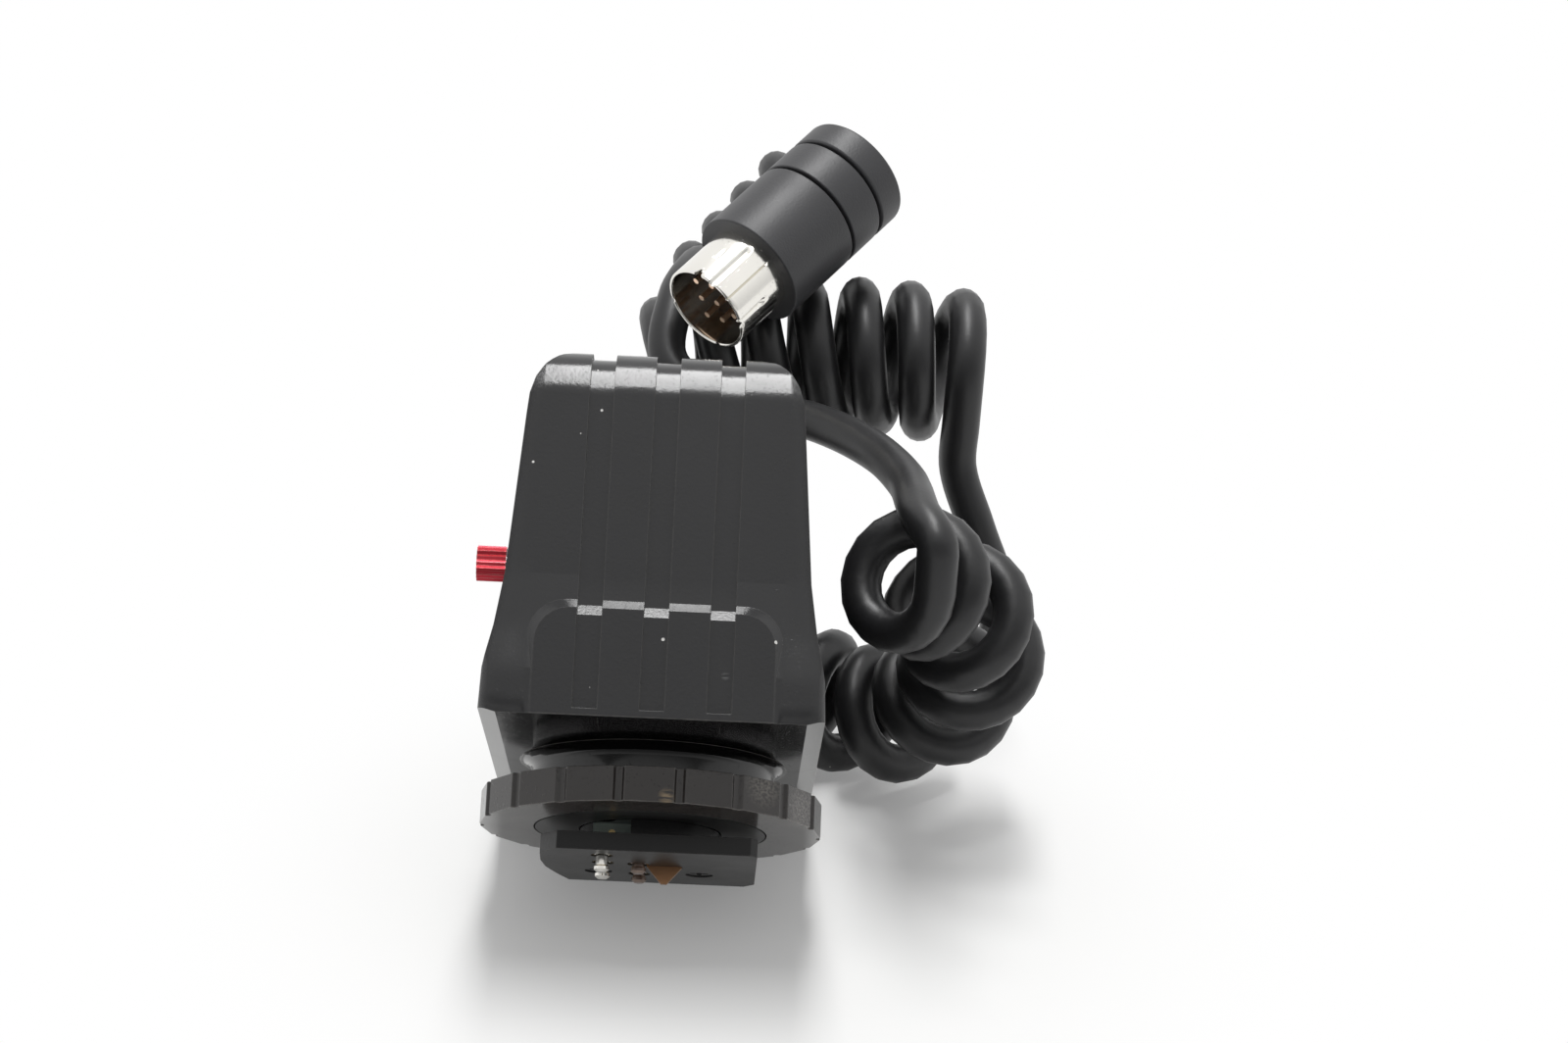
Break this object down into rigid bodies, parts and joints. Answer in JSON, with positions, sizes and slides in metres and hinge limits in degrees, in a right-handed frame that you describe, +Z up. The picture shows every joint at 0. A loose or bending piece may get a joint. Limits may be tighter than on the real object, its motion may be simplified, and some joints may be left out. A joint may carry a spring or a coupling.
{
  "type": "hot shoe flash cord adapter",
  "caption": "Leaning camera flash adapter with a lock wheel on its shoe foot, sprung contacts, a small red side knob and a curly cord ending in a round plug.",
  "frame": {"origin": "on the surface the part stands on, under the centre of the leaning adapter's box, cord and plug left out", "axes": "+X to the right seen from the front panel, +Y to the back, the way the adapter leans, +Z up"},
  "size_m": [0.0501, 0.0939, 0.0578],
  "materials": {
    "satin_black": "satin",
    "gloss_black": "gloss",
    "case_black": "gloss with a fine satin front",
    "grey_insert": "matte",
    "board_green": "satin",
    "rubber": "matte",
    "insert_brown": "satin",
    "red_metal": "satin",
    "steel": "satin",
    "dark_steel": "satin",
    "nickel": "polished",
    "brass": "satin",
    "bronze": "satin",
    "copper": "satin"
  },
  "bodies": {
    "housing": {"shoe_foot": "satin_black", "foot_screws": "dark_steel", "shoe_neck": "gloss_black", "neck_insert": "grey_insert", "neck_rivet": "brass", "contact_barrels": "brass", "collar": "gloss_black", "front_shell": "case_black", "rear_shell": "case_black", "case_screws": "steel", "label_plate": "gloss_black", "circuit_board": "board_green", "board_parts": "satin_black", "selector_switch": "grey_insert", "cord_gland": "rubber", "cord_start": "rubber", "cord_coil_upper": "rubber", "cord_drop": "rubber", "cord_coil_lower": "rubber", "cord_rise": "rubber", "cord_coil_plug": "rubber", "cord_end": "rubber", "plug_cap": "rubber", "plug_middle": "rubber", "plug_body": "rubber", "plug_shell": "nickel", "plug_insert": "insert_brown", "plug_pins": "copper"},
    "pressure_ring": {"pressure_ring": "satin_black"},
    "lock_wheel": {"lock_wheel": "gloss_black"},
    "selector": {"selector_stem": "steel", "selector_knob": "red_metal"},
    "contact_pin_front": {"contact_pin_front": "nickel"},
    "contact_pin_second": {"contact_pin_second": "nickel"},
    "contact_pin_short": {"contact_pin_short": "bronze"},
    "contact_pin_rear": {"contact_pin_rear": "bronze"},
    "centre_contact": {"centre_contact": "bronze"}
  },
  "joints": [
    {"name": "ring_travel", "type": "slide", "parent": "housing", "child": "pressure_ring", "axis": [0, -0.5988, -0.8009], "range_m": [0, 0.0012]},
    {"name": "wheel_turn", "type": "hinge", "parent": "pressure_ring", "child": "lock_wheel", "pos_m": [0, -0.01345, 0.00873], "axis": [0, -0.5988, -0.8009], "range_deg": [0, 540]},
    {"name": "selector_turn", "type": "hinge", "parent": "housing", "child": "selector", "pos_m": [-0.014, -0.0154, 0.03409], "axis": [-1, 0, 0], "range_deg": [0, 90]},
    {"name": "contact_pin_front_press", "type": "slide", "parent": "housing", "child": "contact_pin_front", "axis": [0, 0.5988, 0.8009], "range_m": [0, 0.0013], "stiffness_N_per_m": 300},
    {"name": "contact_pin_second_press", "type": "slide", "parent": "housing", "child": "contact_pin_second", "axis": [0, 0.5988, 0.8009], "range_m": [0, 0.0013], "stiffness_N_per_m": 300},
    {"name": "contact_pin_short_press", "type": "slide", "parent": "housing", "child": "contact_pin_short", "axis": [0, 0.5988, 0.8009], "range_m": [0, 0.0007], "stiffness_N_per_m": 300},
    {"name": "contact_pin_rear_press", "type": "slide", "parent": "housing", "child": "contact_pin_rear", "axis": [0, 0.5988, 0.8009], "range_m": [0, 0.0007], "stiffness_N_per_m": 300},
    {"name": "centre_contact_press", "type": "slide", "parent": "housing", "child": "centre_contact", "axis": [0, 0.5988, 0.8009], "range_m": [0, 0.0013], "stiffness_N_per_m": 300}
  ],
  "couplings": [
    {"joint": "ring_travel", "follows": "wheel_turn", "m_per_rad": 0.00012732}
  ]
}
